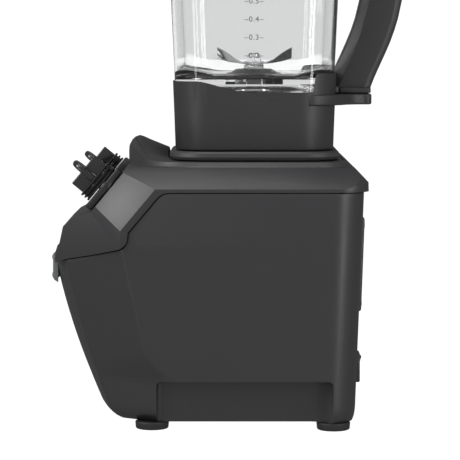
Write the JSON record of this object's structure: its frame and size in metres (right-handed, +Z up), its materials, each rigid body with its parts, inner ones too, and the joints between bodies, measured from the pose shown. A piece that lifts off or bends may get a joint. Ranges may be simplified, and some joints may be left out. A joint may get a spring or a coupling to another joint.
{
  "type": "countertop blender",
  "caption": "Countertop blender: charcoal motor base with a sloped control face and two dials, and a clear square jar with blades, handle and lid.",
  "frame": {"origin": "centre of the whole blender's box, on the worktop that its feet stand on", "axes": "+Z up, -X towards the front with the control face, +Y towards the user's left hand"},
  "size_m": [0.246, 0.19, 0.457],
  "materials": {
    "housing_plastic": "satin moulded charcoal plastic",
    "deck_plastic": "satin moulded dark plastic",
    "black_plastic": "black moulded plastic",
    "collar_plastic": "black plastic with a fine moulded texture",
    "control_plastic": "smooth black plastic, semi-gloss",
    "foot_rubber": "black rubber",
    "pad_rubber": "soft dark grey rubber",
    "lid_rubber": "black soft rubber",
    "badge_face": "light silver-grey plate",
    "steel": "turned steel",
    "blade_steel": "polished stainless steel",
    "laminations": "stacked steel sheets",
    "bracket_metal": "die-cast aluminium",
    "copper": "enamelled copper",
    "carbon": "pressed carbon",
    "board": "green circuit board",
    "clear_plastic": "clear copolyester, slightly smoky, glossy"
  },
  "bodies": {
    "base": {"lower_housing": "housing_plastic", "upper_housing": "housing_plastic", "top_deck": "deck_plastic", "base_plate": "housing_plastic", "foot_front_left": "foot_rubber", "foot_front_right": "foot_rubber", "foot_rear_left": "foot_rubber", "foot_rear_right": "foot_rubber", "front_badge": "badge_face", "rear_vent_cover": "housing_plastic", "power_switch_case": "black_plastic", "cord_gland": "black_plastic", "control_bezel": "black_plastic", "encoder_left": "steel", "encoder_right": "steel", "paddle_switch": "black_plastic", "control_board": "board", "jar_pad": "pad_rubber", "jar_sensor_switch": "black_plastic", "stator_core": "laminations", "brush_left": "carbon", "brush_right": "carbon", "motor_bracket": "bracket_metal", "upper_bearing": "steel", "lower_bearing": "steel", "motor_cradle": "black_plastic"},
    "motor": {"motor_shaft": "steel", "drive_socket": "steel", "rotor_core": "laminations", "rotor_winding": "copper", "commutator": "copper", "cooling_fan": "black_plastic"},
    "jar": {"jar_vessel": "clear_plastic", "jar_collar": "collar_plastic", "handle": "collar_plastic", "blade_retainer": "black_plastic", "retainer_ring": "black_plastic", "blade_bearing": "steel", "blade_seal": "foot_rubber"},
    "blades": {"blade_shaft": "steel", "blade_spacer": "steel", "lower_blade": "blade_steel", "upper_blade": "blade_steel", "blade_nut": "steel", "jar_coupling": "steel"},
    "lid": {"jar_lid": "lid_rubber", "lid_gasket": "lid_rubber"},
    "cap": {"filler_cap": "clear_plastic"},
    "left_dial": {"dial_left": "control_plastic"},
    "right_dial": {"dial_right": "control_plastic"},
    "paddle": {"pulse_paddle": "control_plastic"},
    "rocker": {"power_rocker": "control_plastic"},
    "sensor_pin": {"jar_sensor_pin": "black_plastic"}
  },
  "joints": [
    {"name": "motor_spin", "type": "hinge", "parent": "base", "child": "motor", "pos_m": [0.01347, 0, 0.1], "axis": [0, 0, 1], "continuous": true},
    {"name": "jar_lift", "type": "slide", "parent": "base", "child": "jar", "axis": [0, 0, 1], "range_m": [0, 0.03]},
    {"name": "blade_spin", "type": "hinge", "parent": "jar", "child": "blades", "pos_m": [0.01347, 0, 0.22], "axis": [0, 0, 1], "continuous": true},
    {"name": "lid_lift", "type": "slide", "parent": "jar", "child": "lid", "axis": [0, 0, 1], "range_m": [0, 0.03]},
    {"name": "cap_lift", "type": "slide", "parent": "lid", "child": "cap", "axis": [0, 0, 1], "range_m": [0, 0.02]},
    {"name": "left_dial_turn", "type": "hinge", "parent": "base", "child": "left_dial", "pos_m": [-0.08154, 0.064, 0.15508], "axis": [-0.7716, 0, 0.6361], "range_deg": [-135, 135]},
    {"name": "right_dial_turn", "type": "hinge", "parent": "base", "child": "right_dial", "pos_m": [-0.08154, -0.064, 0.15508], "axis": [-0.7716, 0, 0.6361], "range_deg": [-135, 135]},
    {"name": "paddle_rock", "type": "hinge", "parent": "base", "child": "paddle", "pos_m": [-0.08501, 0, 0.15794], "axis": [0, 1, 0], "range_deg": [-8, 8], "stiffness_Nm_per_rad": 0.05},
    {"name": "power_rock", "type": "hinge", "parent": "base", "child": "rocker", "pos_m": [0.07956, -0.048, 0.03765], "axis": [0, 1, 0], "range_deg": [-15, 0]},
    {"name": "sensor_press", "type": "slide", "parent": "base", "child": "sensor_pin", "axis": [0, 0, 1], "range_m": [-0.003, 0], "stiffness_N_per_m": 100}
  ],
  "couplings": [
    {"joint": "blade_spin", "follows": "motor_spin", "ratio": 1}
  ]
}
